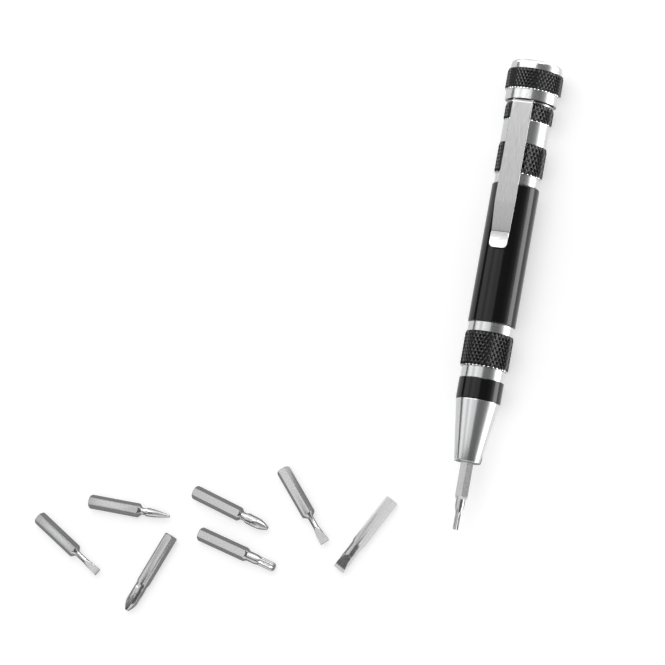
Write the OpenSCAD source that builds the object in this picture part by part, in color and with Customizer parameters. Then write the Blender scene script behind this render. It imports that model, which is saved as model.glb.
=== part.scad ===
// Pocket screwdriver with a magazine barrel, a screw cap, a pocket clip and eight hex bits.
// The origin is the centre of the nose's mouth. The barrel lies along +Y, tip towards -Y, clip on top.

/* [Nose] */
// Radius of the nose at its mouth
mouth_r = 4.3; // [3.9:0.05:4.8]
// Radius of the cone where it meets the black ring
cone_r = 6.95; // [6.5:0.05:7.4]
// Length of the bright cone
cone_len = 19.6; // [16:0.1:24]
// Radius of the black ring behind the cone
nose_ring_r = 7.15; // [6.9:0.05:7.5]
// Length of the black ring behind the cone
nose_ring_len = 6.7; // [4:0.1:9]
// Radius of the threaded spigot that screws into the barrel
spigot_r = 5.4; // [5:0.05:5.8]
// Length of the threaded spigot
spigot_len = 9.5; // [7:0.1:10]

/* [Barrel bands] */
// Radius of the bright band in front of the grip knurl
front_band_r = 6.9; // [6.8:0.05:7.3]
// Length of that front band
front_band_len = 3.7; // [2:0.1:5]
// Radius of the bright band behind the grip knurl
middle_band_r = 7.25; // [6.9:0.05:7.5]
// Length of that middle band
middle_band_len = 3.1; // [2:0.1:5]
// Radius of the smooth black barrel
barrel_r = 7.6; // [7.4:0.05:7.8]
// Length of the smooth black barrel
barrel_len = 45.1; // [38:0.1:52]
// Radius of the bright band behind the smooth barrel
rear_band_r = 7.1; // [6.9:0.05:7.5]
// Length of that rear band
rear_band_len = 3.2; // [2:0.1:5]
// Radius of the bright waist between the two rear knurls
waist_r = 7.5; // [7.2:0.05:7.7]
// Length of that waist
waist_len = 7.4; // [5:0.1:10]

/* [Knurls] */
// Crest radius of the grip and rear knurls
knurl_r = 7.8; // [7.7:0.05:8]
// Crest radius of the knurl under the clip ring
upper_knurl_r = 7.85; // [7.75:0.05:8]
// Crest radius of the cap's knurl
cap_knurl_r = 9.05; // [9:0.05:9.6]
// Length of the grip knurl
grip_knurl_len = 11.1; // [8:0.1:14]
// Length of the rear knurl
rear_knurl_len = 9.9; // [7:0.1:12]
// Length of the knurl under the clip ring
upper_knurl_len = 5.4; // [4:0.1:7]
// Length of the cap's knurl
cap_knurl_len = 6.7; // [5:0.1:9]
// Depth from the crests of the diamonds to the cut lines
knurl_depth = 0.35; // [0.2:0.05:0.45]
// Width of a diamond around the barrel's bands
knurl_pitch = 1.4; // [1.1:0.05:1.6]
// Width of a diamond around the cap's knurl
cap_knurl_pitch = 1.2; // [1.1:0.05:1.6]
// Angle of the cut lines from the barrel's axis
knurl_slant = 31; // [28:0.5:45]

/* [Magazine and neck] */
// Radius of the magazine bore that holds the spare bits
magazine_r = 5.6; // [5.2:0.05:5.8]
// Depth of the magazine from the neck's rim
magazine_len = 66; // [60:0.5:72]
// Radius of the threaded neck that the cap screws on
neck_r = 6.5; // [6.3:0.05:6.6]
// Length of the threaded neck
neck_len = 9; // [8:0.1:9.5]

/* [Cap] */
// Radius of the bright band at the cap's open end
cap_band_r = 8.4; // [8.2:0.05:8.6]
// Length of that band
cap_band_len = 3.3; // [3:0.1:4.5]
// Radius of the bright top of the cap
cap_top_r = 8.25; // [8:0.05:8.6]
// Length of the bright top
cap_top_len = 3.1; // [2.6:0.1:4]
// Radius of the rounded edge of the top
cap_edge_r = 1.3; // [0.5:0.1:1.6]
// Thickness of the soft pad inside the cap
pad_t = 1; // [0.6:0.1:1.2]

/* [Clip] */
// Width of the clip
clip_w = 6.7; // [5.5:0.1:7.5]
// Thickness of the clip's spring sheet
clip_t = 0.55; // [0.4:0.05:0.6]
// Radius from the barrel's axis to the clip's outer face
clip_out_r = 9; // [8.9:0.05:9.05]
// Length of the stiff channel below the clip's top
channel_len = 6.8; // [5:0.1:8]
// Length of the straight springy run below the channel
spring_run_len = 27; // [22:0.5:30]
// Length of the run that slants in to the barrel
slant_len = 9.3; // [7:0.1:12]
// Length of the flared lip
lip_len = 5.2; // [4:0.1:6.5]
// Width of the lip
lip_w = 5.9; // [5:0.1:6.5]

/* [Bits] */
// Size of every hex shank across its flats
bit_af = 4; // [3.8:0.05:4.1]
// Overall length of every bit
bit_len = 28; // [25:0.5:32]
// Length of the hex shank
shank_len = 17.2; // [14:0.1:19]
// How deep the nose bit sits in its socket
socket_depth = 6.4; // [5:0.1:8]
// Neck radius of the star bit in the nose
star_neck_r = 1.5; // [1.3:0.05:1.8]
// Outer radius of its six-lobed tip
star_tip_r = 1.05; // [0.9:0.05:1.25]
// Neck radius of the large star bit
large_star_neck_r = 1.65; // [1.6:0.05:1.95]
// Outer radius of its six-lobed tip
large_star_tip_r = 1.45; // [1.3:0.05:1.6]
// Neck radius of the small cross bit
small_cross_r = 1.3; // [1.1:0.05:1.5]
// Neck radius of the medium cross bit
medium_cross_r = 1.75; // [1.5:0.05:1.9]
// Neck radius of the large cross bit
large_cross_r = 1.95; // [1.8:0.05:1.98]
// Neck radius of the two smaller slotted bits
slot_neck_r = 0.9; // [0.8:0.05:1.1]
// Neck radius of the wide slotted bit
wide_slot_neck_r = 1.9; // [1.7:0.05:1.98]
// Blade width of the narrow slotted bit
narrow_blade_w = 2.4; // [2:0.1:2.6]
// Blade width of the medium slotted bit
medium_blade_w = 3; // [2.6:0.1:3.4]
// Blade width of the wide slotted bit
wide_blade_w = 3.8; // [3.5:0.1:4]

/* [Hidden] */
$fn = 96;

// Colours of the finishes
black = [0.05, 0.05, 0.055];
bright = [0.83, 0.84, 0.86];
spring_steel = [0.66, 0.67, 0.69];
bit_steel = [0.6, 0.6, 0.62];
rubber = [0.12, 0.12, 0.13];

// Clearances
run_gap = 0.05;
seat_gap = 0.02;
stack_gap = 0.03;
cut_over = 0.5;

// Stations along the axis, from the nose's mouth
ring_at = cone_len;
front_band_at = ring_at + nose_ring_len;
grip_knurl_at = front_band_at + front_band_len;
middle_band_at = grip_knurl_at + grip_knurl_len;
barrel_at = middle_band_at + middle_band_len;
rear_band_at = barrel_at + barrel_len;
rear_knurl_at = rear_band_at + rear_band_len;
waist_at = rear_knurl_at + rear_knurl_len;
upper_knurl_at = waist_at + waist_len;
rim_t = 0.25;
shoulder_at = upper_knurl_at + upper_knurl_len + rim_t;
neck_top = shoulder_at + neck_len;
magazine_floor = neck_top - magazine_len;

// Rounded and bevelled edges
edge_r = 0.6;
small_bevel = 0.3;
band_skin = 0.3;
knurl_wall = 0.3;
arc_step = 15;

// Clip ring, washer and cap, stacked on the barrel's shoulder
clip_ring_r = 7.4;
hole_r = neck_r + run_gap;
clip_ring_at = shoulder_at + stack_gap;
clip_top = clip_ring_at + clip_t;
washer_t = 0.25;
washer_r = 7.2;
washer_at = clip_top + stack_gap;
cap_at = washer_at + washer_t + stack_gap;
cap_knurl_at = cap_at + cap_band_len;
cap_top_at = cap_knurl_at + cap_knurl_len;
cap_end = cap_top_at + cap_top_len;
cap_wall = 2.4;
cap_roof = cap_end - cap_wall;
seal_cord_r = 0.5;
seal_r = neck_r + seat_gap + seal_cord_r;
seal_at = cap_at + cap_band_len / 2;
seal_groove_r = seal_r + seal_cord_r + seat_gap;
seal_groove_half = seal_cord_r + run_gap;

// Steel bit socket pressed into the nose, with its magnet
socket_r = 3.35;
socket_floor = socket_depth + seat_gap;
magnet_r = 1.9;
magnet_len = 3;
socket_wall = 0.8;
socket_len = socket_floor + magnet_len + socket_wall;
thread_gap = 0.05;

// Clip stations, from its top towards the tip
bend_r = 1;
clip_in_r = clip_out_r - clip_t;
hinge_at = clip_top - channel_len;
slant_at = hinge_at - spring_run_len;
crease_at = slant_at - slant_len;
lip_at = crease_at - lip_len;
crease_in_r = barrel_r + run_gap;
crease_bend_r = 1.5;
lip_in_r = clip_in_r - clip_t / 5;
cheek_in_r = 7.55;
lip_corner_r = 1.6;

// Bit details
corner_r = bit_af / sqrt(3);
butt_bevel = 0.4;
shoulder_len = 1.1;
shank_end = shank_len + shoulder_len;
flute_angle = 46;
flute_root_share = 0.2;
cross_point_share = 0.3;
cross_waist_len = 1.2;
small_cross_waist_share = 0.8;
medium_cross_waist_share = 0.75;
large_cross_waist_share = 0.97;
cross_cone_share = 1.9;
flute_reach_share = 2.4;
blade_reach_share = 0.6;
blade_t_share = 0.22;
blade_flat_len = 1;
star_len = 5.8;
star_notch_share = 0.27;
nose_bit_turn = 13;
// Turn that lays a loose bit on a flat of its hex, with its blade level
level_turn = 90;

// The loose bits lie on the surface that the cap's knurl rests on
floor_z = -cap_knurl_r;
small_cross_place_share = [-4, -1.06];
small_cross_heading = -2;
narrow_slot_place_share = [-4.67, -1.58];
narrow_slot_heading = -32;
medium_cross_place_share = [-2.77, -0.9];
medium_cross_heading = -17;
large_star_place_share = [-2.61, -1.35];
large_star_heading = -15;
large_cross_place_share = [-3.62, -1.76];
large_cross_heading = -112;
medium_slot_place_share = [-1.91, -0.73];
medium_slot_heading = -49;
wide_slot_place_share = [-1.12, -0.95];
wide_slot_heading = -119;

// Points of a rounded upper corner, from the wall up to the end face
function top_round(r, z, s) = [for (t = [0:arc_step:90]) [r - s + s * cos(t), z - s + s * sin(t)]];

// Points of a rounded lower corner, from the end face out to the wall
function foot_round(r, z, s) = [for (t = [90:-arc_step:0]) [r - s + s * cos(t), z + s - s * sin(t)]];

// Points of an arc about c from angle a to angle b
function arc(c, r, a, b, n = 6) =
    [for (i = [0:n]) c + r * [cos(a + (b - a) * i / n), sin(a + (b - a) * i / n)]];

// Lays a piece drawn up +Z along +Y, with its -Y side turned to the top
module laid() {
    rotate([-90, 0, 0]) children();
}

// A solid of revolution about the barrel's axis
module turned(outline) {
    rotate_extrude() polygon(outline);
}

// A plain ring between two stations
module ring(outer_r, inner_r, from, to) {
    turned([[inner_r, from], [outer_r, from], [outer_r, to], [inner_r, to]]);
}

// A diamond-knurled ring: crests and cut lines alternate around it and along it
module knurl_ring(crest_r, at, length, pitch) {
    root_r = crest_r - knurl_depth;
    inner_r = root_r - knurl_wall + seat_gap;
    sides = 2 * round(PI * 2 * crest_r / pitch);
    rows = round(2 * length * tan(knurl_slant) / pitch);
    from = at + seat_gap;
    to = at + length - seat_gap;
    step = (to - from) / rows;
    function spot(r, i, z) = [r * cos(360 * i / sides), r * sin(360 * i / sides), z];
    function crest(i, j) = (i + j) % 2 == 0 && j > 0 && j < rows;
    outer = [for (j = [0:rows], i = [0:sides - 1]) spot(crest(i, j) ? crest_r : root_r, i, from + j * step)];
    inner = [for (z = [from, to], i = [0:sides - 1]) spot(inner_r, i, z)];
    function o(i, j) = j * sides + i % sides;
    function n(i, k) = len(outer) + k * sides + i % sides;
    skin = [for (j = [0:rows - 1], i = [0:sides - 1]) each (i + j) % 2 == 0
        ? [[o(i, j), o(i, j + 1), o(i + 1, j)], [o(i + 1, j), o(i, j + 1), o(i + 1, j + 1)]]
        : [[o(i, j), o(i, j + 1), o(i + 1, j + 1)], [o(i, j), o(i + 1, j + 1), o(i + 1, j)]]];
    wall = [for (i = [0:sides - 1]) each
        [[n(i, 0), n(i + 1, 0), n(i, 1)], [n(i + 1, 0), n(i + 1, 1), n(i, 1)]]];
    foot = [for (i = [0:sides - 1]) each
        [[o(i, 0), o(i + 1, 0), n(i, 0)], [o(i + 1, 0), n(i + 1, 0), n(i, 0)]]];
    head = [for (i = [0:sides - 1]) each
        [[o(i, rows), n(i, 1), o(i + 1, rows)], [o(i + 1, rows), n(i, 1), n(i + 1, 1)]]];
    polyhedron(points = concat(outer, inner), faces = concat(skin, wall, foot, head));
}

// Radius of the relief that a knurled band sits in
function relief_r(crest_r) = crest_r - knurl_depth - knurl_wall;

// Bright cone and black ring in one turned piece, with the spigot and the socket's bore
module nose_cone() {
    bore_r = socket_r + seat_gap;
    bore_end = socket_len + seat_gap;
    spigot_end = front_band_at + spigot_len;
    laid() {
        color(bright) turned(concat(
            [[bore_r, 0], [mouth_r - small_bevel, 0], [mouth_r, small_bevel], [cone_r, ring_at],
            [0, ring_at], [0, bore_end], [bore_r, bore_end]]));
        color(black) turned(concat(
            [[0, ring_at]],
            foot_round(nose_ring_r, ring_at, small_bevel),
            top_round(nose_ring_r, front_band_at, small_bevel),
            [[spigot_r, front_band_at], [spigot_r, spigot_end - small_bevel],
            [spigot_r - small_bevel, spigot_end], [0, spigot_end]]));
    }
}

// Steel sleeve with the hex hole that takes a bit, closed behind the magnet
module bit_socket() {
    color(bit_steel) laid() difference() {
        turned([[0, 0], [socket_r, 0], [socket_r, socket_len], [0, socket_len]]);
        translate([0, 0, -cut_over]) rotate(nose_bit_turn)
            linear_extrude(socket_floor + cut_over) circle(r = corner_r + run_gap, $fn = 6);
        translate([0, 0, socket_floor - cut_over])
            cylinder(r = magnet_r + seat_gap, h = magnet_len + cut_over);
    }
}

// Disc magnet at the bottom of the socket
module socket_magnet() {
    color(rubber) laid() translate([0, 0, socket_floor]) cylinder(r = magnet_r, h = magnet_len);
}

// Barrel: one turned tube, with bright bands and three knurled bands in its reliefs
module barrel() {
    front_bore_r = spigot_r + thread_gap;
    front_bore_end = front_band_at + spigot_len + thread_gap;
    grip_relief = relief_r(knurl_r);
    upper_relief = relief_r(upper_knurl_r);
    laid() {
        color(black) turned(concat(
            [[0, front_bore_end], [front_bore_r, front_bore_end], [front_bore_r, front_band_at],
            [front_band_r - band_skin, front_band_at], [front_band_r - band_skin, grip_knurl_at],
            [grip_relief, grip_knurl_at], [grip_relief, middle_band_at],
            [middle_band_r - band_skin, middle_band_at], [middle_band_r - band_skin, barrel_at]],
            foot_round(barrel_r, barrel_at, small_bevel),
            top_round(barrel_r, rear_band_at, edge_r),
            [[rear_band_r - band_skin, rear_band_at], [rear_band_r - band_skin, rear_knurl_at],
            [grip_relief, rear_knurl_at], [grip_relief, waist_at],
            [waist_r - band_skin, waist_at], [waist_r - band_skin, upper_knurl_at],
            [upper_relief, upper_knurl_at], [upper_relief, shoulder_at - rim_t],
            [upper_knurl_r - knurl_depth, shoulder_at - rim_t],
            [upper_knurl_r - knurl_depth, shoulder_at], [neck_r, shoulder_at],
            [neck_r, neck_top - small_bevel], [neck_r - small_bevel, neck_top],
            [magazine_r, neck_top], [magazine_r, magazine_floor], [0, magazine_floor]]));
        color(bright) {
            ring(front_band_r, front_band_r - band_skin, front_band_at, grip_knurl_at);
            ring(middle_band_r, middle_band_r - band_skin, middle_band_at, barrel_at);
            ring(rear_band_r, rear_band_r - band_skin, rear_band_at, rear_knurl_at);
            ring(waist_r, waist_r - band_skin, waist_at, upper_knurl_at);
        }
        color(black) {
            knurl_ring(knurl_r, grip_knurl_at, grip_knurl_len, knurl_pitch);
            knurl_ring(knurl_r, rear_knurl_at, rear_knurl_len, knurl_pitch);
            knurl_ring(upper_knurl_r, upper_knurl_at, upper_knurl_len, knurl_pitch);
        }
    }
}

// A sheet whose side view is drawn as radius from the axis and station along it
module clip_sheet(side_view, w) {
    rotate([90, 0, -90]) linear_extrude(w, center = true) polygon(side_view);
}

// Ring that the cap traps on the neck, with the clip's bend and its stiff channel
module clip_ring() {
    bend_c = [clip_out_r - bend_r, clip_top - bend_r];
    cheek_foot = small_bevel * 2;
    color(spring_steel) laid() {
        difference() {
            union() {
                translate([0, 0, clip_ring_at]) cylinder(r = clip_ring_r, h = clip_t);
                clip_sheet(concat(
                    [[0, clip_ring_at], [0, clip_top]],
                    arc(bend_c, bend_r, 90, 0),
                    [[clip_out_r, hinge_at], [clip_in_r, hinge_at]],
                    arc(bend_c, bend_r - clip_t, 0, 90)), clip_w);
            }
            translate([0, 0, clip_ring_at - cut_over]) cylinder(r = hole_r, h = clip_t + 2 * cut_over);
        }
        for (side = [-1, 1]) translate([side * (clip_w - clip_t) / 2, 0, 0])
            clip_sheet([[cheek_in_r + cheek_foot, hinge_at], [clip_out_r - clip_t / 2, hinge_at],
                [clip_out_r - clip_t / 2, clip_top - bend_r], [cheek_in_r, clip_ring_at - small_bevel],
                [cheek_in_r, hinge_at + cheek_foot]], clip_t);
    }
}

// Springy arm: straight run, slant in to the barrel, crease and flared lip
module clip_arm() {
    slant_angle = atan((clip_in_r - crease_in_r) / slant_len);
    flare_angle = atan((lip_in_r - crease_in_r) / lip_len);
    crease_c = [crease_in_r + clip_t + crease_bend_r, crease_at];
    sheet_r = crease_bend_r + clip_t;
    side_view = concat(
        [[clip_in_r, hinge_at], [clip_in_r, slant_at]],
        arc(crease_c, sheet_r, 180 - slant_angle, 180 + flare_angle),
        [[lip_in_r, lip_at], [lip_in_r + clip_t, lip_at]],
        arc(crease_c, crease_bend_r, 180 + flare_angle, 180 - slant_angle),
        [[clip_out_r, slant_at], [clip_out_r, hinge_at]]);
    half_w = clip_w / 2;
    half_lip = lip_w / 2;
    half_plan = concat(
        [[half_w, hinge_at], [half_w, slant_at], [half_lip, crease_at]],
        arc([half_lip - lip_corner_r, lip_at + lip_corner_r], lip_corner_r, 0, -90));
    plan = concat(half_plan, [for (i = [len(half_plan) - 1:-1:0]) [-half_plan[i][0], half_plan[i][1]]]);
    color(spring_steel) laid() intersection() {
        clip_sheet(side_view, clip_w + 2 * cut_over);
        rotate([90, 0, 0]) linear_extrude(clip_out_r + cut_over) polygon(plan);
    }
}

// Thin washer between the clip ring and the cap
module cap_washer() {
    color(rubber) laid() ring(washer_r, hole_r, washer_at, washer_at + washer_t);
}

// Rubber ring in the cap's groove, which drags on the neck
module cap_seal() {
    color(rubber) laid() rotate_extrude() translate([seal_r, seal_at]) circle(r = seal_cord_r);
}

// Screw cap: bright band, knurled grip, bright domed-edge top
module cap() {
    relief = relief_r(cap_knurl_r);
    laid() {
        color(black) turned(concat(
            [[hole_r, cap_at], [cap_band_r - band_skin, cap_at], [cap_band_r - band_skin, cap_knurl_at],
            [relief, cap_knurl_at], [relief, cap_top_at], [cap_top_r - band_skin, cap_top_at],
            [cap_top_r - band_skin, cap_end - cap_wall / 2], [0, cap_end - cap_wall / 2],
            [0, cap_roof], [hole_r, cap_roof], [hole_r, seal_at + seal_groove_half],
            [seal_groove_r, seal_at + seal_groove_half], [seal_groove_r, seal_at - seal_groove_half],
            [hole_r, seal_at - seal_groove_half]]));
        color(bright) {
            ring(cap_band_r, cap_band_r - band_skin, cap_at, cap_knurl_at);
            turned(concat(
                [[0, cap_end - cap_wall / 2], [cap_top_r - band_skin, cap_end - cap_wall / 2],
                [cap_top_r - band_skin, cap_top_at], [cap_top_r, cap_top_at]],
                top_round(cap_top_r, cap_end, cap_edge_r),
                [[0, cap_end]]));
        }
        color(black) knurl_ring(cap_knurl_r, cap_knurl_at, cap_knurl_len, cap_knurl_pitch);
    }
}

// Soft disc under the cap's roof that keeps the spare bits quiet
module cap_pad() {
    color(rubber) laid() translate([0, 0, cap_roof - pad_t]) cylinder(r = hole_r - run_gap, h = pad_t);
}

// Hex shank from its butt to the start of a neck, bevelled at both ends
module shank(neck_r) {
    intersection() {
        linear_extrude(shank_end) circle(r = corner_r, $fn = 6);
        turned([[0, 0], [corner_r - butt_bevel, 0], [corner_r, butt_bevel], [corner_r, shank_len],
            [neck_r, shank_end], [0, shank_end]]);
    }
}

// Cross-tipped bit: a waist, then a cone with four flutes that leave four wings
module cross_shape(neck_r, waist_share) {
    waist_r = neck_r * waist_share;
    waist_end = shank_end + cross_waist_len;
    bulge_at = waist_end + 2 * (neck_r - waist_r);
    root_r = neck_r * flute_root_share;
    cone_len = neck_r * cross_cone_share;
    flute_len = neck_r * flute_reach_share;
    lean = atan((neck_r - root_r) / flute_len);
    open = neck_r * 2;
    shank(waist_r);
    difference() {
        turned([[0, shank_len], [waist_r, shank_len], [waist_r, waist_end], [neck_r, bulge_at],
            [neck_r, bit_len - cone_len], [neck_r * cross_point_share, bit_len], [0, bit_len]]);
        for (turn = [0:90:270]) rotate(turn) translate([root_r, 0, bit_len]) rotate([0, 180 - lean, 0])
            translate([0, 0, -cut_over]) linear_extrude(flute_len * 2) polygon(
                [[0, 0], [-open, open * tan(flute_angle)], [-open, -open * tan(flute_angle)]]);
    }
}

// Slotted bit: a round neck that flattens and spreads or narrows to a blade
module slot_shape(neck_r, blade_w) {
    blade_t = blade_w * blade_t_share;
    taper_at = bit_len - (bit_len - shank_end) * blade_reach_share;
    flare_at = bit_len - blade_flat_len;
    half_w = blade_w / 2;
    shank(neck_r);
    turned([[0, shank_len], [neck_r, shank_len], [neck_r, taper_at], [0, taper_at]]);
    intersection() {
        rotate([90, 0, 0]) linear_extrude(4 * neck_r, center = true) polygon(
            [[-neck_r, shank_end], [neck_r, shank_end], [neck_r, taper_at], [half_w, flare_at],
            [half_w, bit_len], [-half_w, bit_len], [-half_w, flare_at], [-neck_r, taper_at]]);
        rotate([90, 0, 90]) linear_extrude(4 * neck_r, center = true) polygon(
            [[-neck_r, taper_at], [neck_r, taper_at], [blade_t / 2, flare_at],
            [blade_t / 2, bit_len], [-blade_t / 2, bit_len], [-blade_t / 2, flare_at]]);
        turned([[0, taper_at], [neck_r, taper_at], [max(neck_r, half_w), flare_at],
            [half_w + blade_t, bit_len], [0, bit_len]]);
    }
}

// Star bit: a neck that tapers to a six-lobed flat-ended tip
module star_shape(neck_r, tip_r) {
    star_at = bit_len - star_len;
    taper_at = star_at - (neck_r - tip_r) * 3 - small_bevel;
    notch_r = tip_r * star_notch_share;
    shank(neck_r);
    turned([[0, shank_len], [neck_r, shank_len], [neck_r, taper_at], [tip_r, star_at], [0, star_at]]);
    intersection() {
        translate([0, 0, star_at - small_bevel]) linear_extrude(star_len + small_bevel) difference() {
            circle(r = tip_r);
            for (turn = [30:60:330]) rotate(turn) translate([tip_r, 0]) circle(r = notch_r);
        }
        turned([[0, star_at - small_bevel], [tip_r, star_at - small_bevel],
            [tip_r, bit_len - notch_r], [tip_r - notch_r, bit_len], [0, bit_len]]);
    }
}

// Lays a bit on a flat of its hex, centred on a place and pointing along a heading
module loose(place_share, heading) {
    translate([place_share[0] * bit_len, place_share[1] * bit_len, floor_z + bit_af / 2])
        rotate([0, 0, heading]) rotate([0, 90, 0])
            translate([0, 0, -bit_len / 2]) rotate(level_turn) children();
}

// Star bit held in the nose
module star_bit() {
    color(bit_steel) laid() translate([0, 0, socket_depth]) rotate([180, 0, 0])
        rotate(-nose_bit_turn) star_shape(star_neck_r, star_tip_r);
}

module small_cross_bit() {
    color(bit_steel) loose(small_cross_place_share, small_cross_heading)
        cross_shape(small_cross_r, small_cross_waist_share);
}

module medium_cross_bit() {
    color(bit_steel) loose(medium_cross_place_share, medium_cross_heading)
        cross_shape(medium_cross_r, medium_cross_waist_share);
}

module large_cross_bit() {
    color(bit_steel) loose(large_cross_place_share, large_cross_heading)
        cross_shape(large_cross_r, large_cross_waist_share);
}

module narrow_slot_bit() {
    color(bit_steel) loose(narrow_slot_place_share, narrow_slot_heading)
        slot_shape(slot_neck_r, narrow_blade_w);
}

module medium_slot_bit() {
    color(bit_steel) loose(medium_slot_place_share, medium_slot_heading)
        slot_shape(slot_neck_r, medium_blade_w);
}

module wide_slot_bit() {
    color(bit_steel) loose(wide_slot_place_share, wide_slot_heading)
        slot_shape(wide_slot_neck_r, wide_blade_w);
}

module large_star_bit() {
    color(bit_steel) loose(large_star_place_share, large_star_heading)
        star_shape(large_star_neck_r, large_star_tip_r);
}

nose_cone();
bit_socket();
socket_magnet();
barrel();
clip_ring();
clip_arm();
cap_washer();
cap_seal();
cap();
cap_pad();
star_bit();
small_cross_bit();
medium_cross_bit();
large_cross_bit();
narrow_slot_bit();
medium_slot_bit();
wide_slot_bit();
large_star_bit();
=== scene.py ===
"""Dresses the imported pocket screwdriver: turned aluminium with diamond knurls, a spring clip and hex bits."""

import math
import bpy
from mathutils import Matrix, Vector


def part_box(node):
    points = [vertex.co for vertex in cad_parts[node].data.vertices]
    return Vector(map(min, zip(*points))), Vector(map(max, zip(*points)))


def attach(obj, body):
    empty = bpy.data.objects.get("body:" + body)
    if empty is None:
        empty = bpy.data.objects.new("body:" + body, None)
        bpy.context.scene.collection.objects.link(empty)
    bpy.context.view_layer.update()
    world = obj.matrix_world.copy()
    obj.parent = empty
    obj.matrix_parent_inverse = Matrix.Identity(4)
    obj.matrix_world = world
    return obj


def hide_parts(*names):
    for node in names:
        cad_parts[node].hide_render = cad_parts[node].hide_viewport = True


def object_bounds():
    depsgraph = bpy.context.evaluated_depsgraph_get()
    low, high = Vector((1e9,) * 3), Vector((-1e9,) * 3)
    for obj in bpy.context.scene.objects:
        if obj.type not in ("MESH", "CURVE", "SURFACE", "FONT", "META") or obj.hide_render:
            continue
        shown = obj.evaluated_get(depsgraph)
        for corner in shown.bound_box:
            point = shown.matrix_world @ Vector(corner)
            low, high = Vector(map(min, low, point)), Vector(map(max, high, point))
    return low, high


bl_info = {
    "name": "Pocket Screwdriver",
    "version": (1, 0, 0),
    "blender": (4, 5, 0),
    "location": "3D View > Sidebar > Screwdriver",
    "description": "Finishes a pocket screwdriver with its clip, its screw cap and eight bits",
    "category": "Object",
}

import bmesh
import bpy
from bpy.props import FloatProperty, FloatVectorProperty, IntProperty, PointerProperty
from mathutils import Matrix, Vector

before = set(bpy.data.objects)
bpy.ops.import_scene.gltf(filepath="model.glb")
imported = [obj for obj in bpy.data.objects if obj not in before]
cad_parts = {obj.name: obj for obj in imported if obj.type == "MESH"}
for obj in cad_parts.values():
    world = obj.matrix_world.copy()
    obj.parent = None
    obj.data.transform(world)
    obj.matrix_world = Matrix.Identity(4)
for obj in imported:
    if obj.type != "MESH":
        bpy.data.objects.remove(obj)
CAD_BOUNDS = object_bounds()

MM = 0.001

# Closer than this in millimetres counts as the same place
NEAR = 0.01
MERGE_DISTANCE = 0.001 * MM

# The part of a noise's range that a grain uses
GRAIN_LOW = 0.3
GRAIN_HIGH = 0.7


def sizes():
    """The sizes that the panel shows."""
    return bpy.context.scene.screwdriver_sizes


def finishes():
    """The colours that the panel shows."""
    return bpy.context.scene.screwdriver_finishes


class ScrewdriverSizes(bpy.types.PropertyGroup):
    """Sizes of the surface detail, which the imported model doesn't hold."""

    turning_steps: IntProperty(
        name="Turning Steps",
        description="Flat facets round a turned surface",
        default=144,
        min=48,
        max=256,
    )
    bit_steps: IntProperty(
        name="Bit Steps",
        description="Flat facets round a bit, twelve to each face of its hex",
        default=72,
        min=72,
        max=144,
        step=72,
    )
    edge_softness: FloatProperty(
        name="Edge Softness",
        description="Width of the small bevel on turned edges",
        default=0.12 * MM,
        unit="LENGTH",
        precision=5,
    )
    knurl_depth: FloatProperty(
        name="Knurl Depth",
        description="Depth of the cuts below the crests of the diamonds",
        default=0.35 * MM,
        unit="LENGTH",
        precision=5,
    )
    knurl_slant: FloatProperty(
        name="Knurl Slant",
        description="Angle of the cuts from the barrel's axis",
        default=math.radians(31),
        subtype="ANGLE",
    )
    crest_flat: FloatProperty(
        name="Crest Flat",
        description="How far the crest of each diamond is taken off",
        default=0.2 * MM,
        unit="LENGTH",
        precision=5,
    )
    diamonds_round_grip: IntProperty(
        name="Diamonds Round the Grip",
        description="Number of diamonds round each knurl of the barrel",
        default=35,
        min=12,
        max=80,
    )
    diamonds_round_cap: IntProperty(
        name="Diamonds Round the Cap",
        description="Number of diamonds round the cap's knurl",
        default=47,
        min=12,
        max=80,
    )


class ScrewdriverFinishes(bpy.types.PropertyGroup):
    """Colours of the finishes."""

    black: FloatVectorProperty(
        name="Black Anodising",
        description="Colour of the black aluminium",
        subtype="COLOR",
        size=3,
        min=0,
        max=1,
        default=(0.002, 0.002, 0.0023),
    )
    bright: FloatVectorProperty(
        name="Bright Aluminium",
        description="Colour of the diamond-cut bands",
        subtype="COLOR",
        size=3,
        min=0,
        max=1,
        default=(0.8, 0.805, 0.812),
    )
    clip: FloatVectorProperty(
        name="Clip Steel",
        description="Colour of the spring clip",
        subtype="COLOR",
        size=3,
        min=0,
        max=1,
        default=(0.45, 0.45, 0.454),
    )
    bits: FloatVectorProperty(
        name="Bit Steel",
        description="Colour of the satin bits",
        subtype="COLOR",
        size=3,
        min=0,
        max=1,
        default=(0.62, 0.62, 0.625),
    )


def plain_finish(name, colour, metallic, roughness):
    """A new material with its even values on the shader's own sockets."""
    material = bpy.data.materials.new(name)
    material.use_nodes = True
    shader = material.node_tree.nodes["Principled BSDF"]
    shader.inputs["Base Color"].default_value = (*colour, 1)
    shader.inputs["Metallic"].default_value = metallic
    shader.inputs["Roughness"].default_value = roughness
    return material, shader


def grain(material, stretch, detail):
    """Noise on Object coordinates. Stretch is the number of grains per metre along X, Y and Z."""
    tree = material.node_tree
    place = tree.nodes.new("ShaderNodeTexCoord")
    mapping = tree.nodes.new("ShaderNodeMapping")
    mapping.inputs["Scale"].default_value = stretch
    noise = tree.nodes.new("ShaderNodeTexNoise")
    noise.inputs["Scale"].default_value = 1
    noise.inputs["Detail"].default_value = detail
    tree.links.new(place.outputs["Object"], mapping.inputs["Vector"])
    tree.links.new(mapping.outputs["Vector"], noise.inputs["Vector"])
    return noise.outputs["Fac"]


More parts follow.
